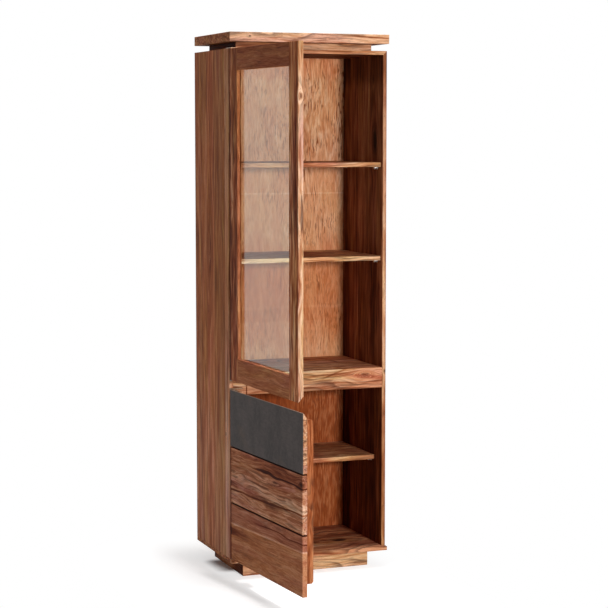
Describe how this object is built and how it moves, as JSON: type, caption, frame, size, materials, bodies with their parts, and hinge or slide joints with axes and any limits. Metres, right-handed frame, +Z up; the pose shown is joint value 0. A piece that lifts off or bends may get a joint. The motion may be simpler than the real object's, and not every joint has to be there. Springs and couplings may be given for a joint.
{
  "type": "display cabinet",
  "caption": "Tall free-standing hardwood display cabinet with a framed glass door above a boarded, slate-faced door, open shelves inside and a recessed plinth.",
  "frame": {"origin": "on the floor under the middle of the cabinet's top board, on the underside of the plinth's centre brace", "axes": "+Z up, +X to the right as seen from the front, +Y to the back"},
  "size_m": [0.59, 0.9769, 1.9],
  "materials": {
    "hardwood": "oiled and waxed, strongly streaked",
    "slate": "natural cleft, matt",
    "glass": "clear float glass",
    "steel": "satin",
    "bearing_plastic": "plain"
  },
  "bodies": {
    "carcass": {"back_panel": "hardwood", "base_panel": "hardwood", "base_pivot_plate": "steel", "carcass_top": "hardwood", "divider_floor": "hardwood", "divider_rail": "hardwood", "left_side": "hardwood", "lower_rail_pivot_plate": "steel", "lower_shelf": "hardwood", "neck_back": "hardwood", "neck_front": "hardwood", "neck_left": "hardwood", "neck_right": "hardwood", "pivot_pins": "steel", "pivot_washers": "bearing_plastic", "plinth_back": "hardwood", "plinth_brace": "hardwood", "plinth_front": "hardwood", "plinth_left": "hardwood", "plinth_right": "hardwood", "rail_cross_pin": "steel", "right_side": "hardwood", "shelf_pins": "steel", "top_board": "hardwood", "top_pivot_plate": "steel", "upper_rail_pivot_plate": "steel", "upper_shelf_bottom": "hardwood", "upper_shelf_top": "hardwood"},
    "upper_door": {"upper_door_beads": "hardwood", "upper_door_bottom_leaf": "steel", "upper_door_bottom_rail": "hardwood", "upper_door_free_stile": "hardwood", "upper_door_glass": "glass", "upper_door_hinge_stile": "hardwood", "upper_door_top_leaf": "steel", "upper_door_top_rail": "hardwood"},
    "lower_door": {"lower_door_bottom_board": "hardwood", "lower_door_bottom_leaf": "steel", "lower_door_free_batten": "hardwood", "lower_door_hinge_batten": "hardwood", "lower_door_middle_board": "hardwood", "lower_door_top_board": "hardwood", "lower_door_top_leaf": "steel", "slate_panel": "slate"}
  },
  "joints": [
    {"name": "upper_door_swing", "type": "hinge", "parent": "carcass", "child": "upper_door", "pos_m": [-0.289, -0.1945, 1.2745], "axis": [0, 0, 1], "range_deg": [-23, 87]},
    {"name": "lower_door_swing", "type": "hinge", "parent": "carcass", "child": "lower_door", "pos_m": [-0.289, -0.1935, 0.37375], "axis": [0, 0, 1], "range_deg": [-24, 85.5]}
  ]
}
